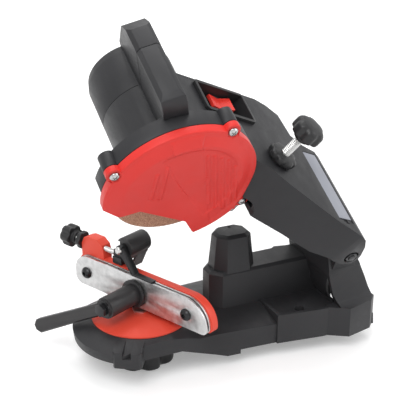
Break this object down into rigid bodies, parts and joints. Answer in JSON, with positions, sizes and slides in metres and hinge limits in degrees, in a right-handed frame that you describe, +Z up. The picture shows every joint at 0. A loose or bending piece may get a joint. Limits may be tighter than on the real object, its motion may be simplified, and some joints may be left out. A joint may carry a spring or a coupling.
{
  "type": "electric chainsaw sharpener",
  "caption": "Bench-mounted electric chain grinder: tilting head with guarded grinding disc over a swivelling chain vise on a moulded base.",
  "frame": {"origin": "midway between the two bench bolt holes, on the bench top", "axes": "+X from the vise to the hinge at the rear, +Y to the motor side, +Z up from the bench"},
  "size_m": [0.2807, 0.1933, 0.3017],
  "materials": {
    "base_plastic": "lightly textured black nylon",
    "housing_plastic": "lightly textured black nylon",
    "handle_plastic": "fine grained black nylon",
    "frame_plastic": "satin black",
    "lever_plastic": "satin dark grey",
    "knob_plastic": "satin black",
    "vise_red": "satin red paint",
    "guard_red": "satin red",
    "rocker_red": "glossy red",
    "rail_steel": "nickel plated, polished",
    "zinc_steel": "bright zinc plated",
    "black_steel": "black oxide",
    "screw_steel": "bright nickel plated",
    "spring_steel": "oiled spring steel",
    "bush_bronze": "sintered bronze",
    "plate_film": "printed film, left blank",
    "gland_rubber": "matt black",
    "lamination_steel": "laminated",
    "winding_copper": "copper",
    "brush_brass": "plain",
    "fan_plastic": "grey nylon",
    "bearing_steel": "ground",
    "abrasive": "vitrified ceramic grit, pinkish brown",
    "flange_alloy": "turned"
  },
  "bodies": {
    "base": {"base_moulding": "base_plastic", "hinge_bolt": "black_steel", "hinge_nut": "black_steel", "return_spring": "spring_steel", "lock_washer": "zinc_steel"},
    "turntable": {"turntable": "vise_red", "swivel_bolt": "zinc_steel", "rear_rail": "rail_steel", "rail_bolts": "black_steel", "rail_nuts": "zinc_steel", "clamp_bolt": "black_steel", "clamp_washer": "black_steel"},
    "lock_knob": {"lock_knob": "knob_plastic"},
    "front_rail": {"front_rail": "rail_steel", "thrust_washer": "black_steel", "clamp_collar": "knob_plastic"},
    "clamp_lever": {"clamp_lever": "lever_plastic"},
    "stop_slide": {"stop_rod": "zinc_steel", "stop_carrier": "black_steel", "pivot_pin": "zinc_steel"},
    "stop_knob": {"stop_knob": "knob_plastic"},
    "stop_nut": {"stop_nut": "knob_plastic"},
    "pawl": {"pawl_strip": "black_steel", "pawl_tab": "lever_plastic"},
    "head": {"head_housing": "housing_plastic", "hinge_bushes": "bush_bronze", "rating_plate": "plate_film", "motor_cover": "housing_plastic", "handle_shell": "handle_plastic", "disc_guard": "guard_red", "guard_screws": "screw_steel", "switch_frame": "frame_plastic", "cord_gland": "gland_rubber", "stator": "lamination_steel", "field_coils": "winding_copper", "front_bearing": "bearing_steel", "rear_bearing": "bearing_steel", "brush_holders": "brush_brass", "depth_insert": "brush_brass"},
    "rotor": {"armature": "lamination_steel", "commutator": "winding_copper", "cooling_fan": "fan_plastic", "grinding_disc": "abrasive", "inner_flange": "flange_alloy", "outer_flange": "flange_alloy", "arbor_nut": "zinc_steel"},
    "rocker": {"rocker": "rocker_red"},
    "depth_slide": {"depth_rod": "zinc_steel"},
    "depth_knob": {"depth_knob": "knob_plastic"},
    "depth_nut": {"depth_nut": "knob_plastic"}
  },
  "joints": [
    {"name": "vise_swivel", "type": "hinge", "parent": "base", "child": "turntable", "pos_m": [-0.13, 0, 0.027], "axis": [0, 0, 1], "range_deg": [-59.4, 10.6]},
    {"name": "lock_turn", "type": "hinge", "parent": "turntable", "child": "lock_knob", "pos_m": [-0.13, 0, 0], "axis": [0, 0, 1], "range_deg": [0, 270]},
    {"name": "clamp_turn", "type": "hinge", "parent": "turntable", "child": "clamp_lever", "pos_m": [-0.13083, 0.00182, 0.0485], "axis": [0.9107, 0.4131, 0], "range_deg": [0, 55]},
    {"name": "rail_close", "type": "slide", "parent": "turntable", "child": "front_rail", "axis": [0.9107, 0.4131, 0], "range_m": [0, 0.00038]},
    {"name": "stop_shift", "type": "slide", "parent": "turntable", "child": "stop_slide", "axis": [-0.4131, 0.9107, 0], "range_m": [-0.003, 0.004]},
    {"name": "stop_turn", "type": "hinge", "parent": "stop_slide", "child": "stop_knob", "pos_m": [-0.14519, 0.04801, 0.0725], "axis": [-0.4131, 0.9107, 0], "range_deg": [-1355, 1806]},
    {"name": "stop_nut_turn", "type": "hinge", "parent": "turntable", "child": "stop_nut", "pos_m": [-0.14519, 0.04801, 0.0725], "axis": [-0.4131, 0.9107, 0], "range_deg": [-90, 90]},
    {"name": "pawl_lift", "type": "hinge", "parent": "stop_slide", "child": "pawl", "pos_m": [-0.13764, 0.01685, 0.0835], "axis": [-0.9107, -0.4131, 0], "range_deg": [0, 45]},
    {"name": "head_tilt", "type": "hinge", "parent": "base", "child": "head", "pos_m": [0.024, -0.0324, 0.1175], "axis": [0, 0.866, 0.5], "range_deg": [-24.6, 0], "stiffness_Nm_per_rad": 3, "springref_deg": 103.13},
    {"name": "disc_spin", "type": "hinge", "parent": "head", "child": "rotor", "pos_m": [-0.1217, -0.06366, 0.17165], "axis": [0, -0.866, -0.5], "continuous": true},
    {"name": "switch_rock", "type": "hinge", "parent": "head", "child": "rocker", "pos_m": [-0.06291, -0.01033, 0.20728], "axis": [0, -0.866, -0.5], "range_deg": [0, 14]},
    {"name": "depth_shift", "type": "slide", "parent": "head", "child": "depth_slide", "axis": [0.4818, -0.4382, 0.7589], "range_m": [0, 0.012]},
    {"name": "depth_turn", "type": "hinge", "parent": "depth_slide", "child": "depth_knob", "pos_m": [-0.0297, -0.05427, 0.17138], "axis": [0.4818, -0.4382, 0.7589], "range_deg": [0, 3620]},
    {"name": "depth_nut_turn", "type": "hinge", "parent": "head", "child": "depth_nut", "pos_m": [-0.0297, -0.05427, 0.17138], "axis": [0.4818, -0.4382, 0.7589], "range_deg": [-90, 90]}
  ],
  "couplings": [
    {"joint": "clamp_turn", "follows": "rail_close", "rad_per_m": 2500},
    {"joint": "stop_turn", "follows": "stop_shift", "rad_per_m": 7874},
    {"joint": "depth_turn", "follows": "depth_shift", "rad_per_m": 5263}
  ]
}
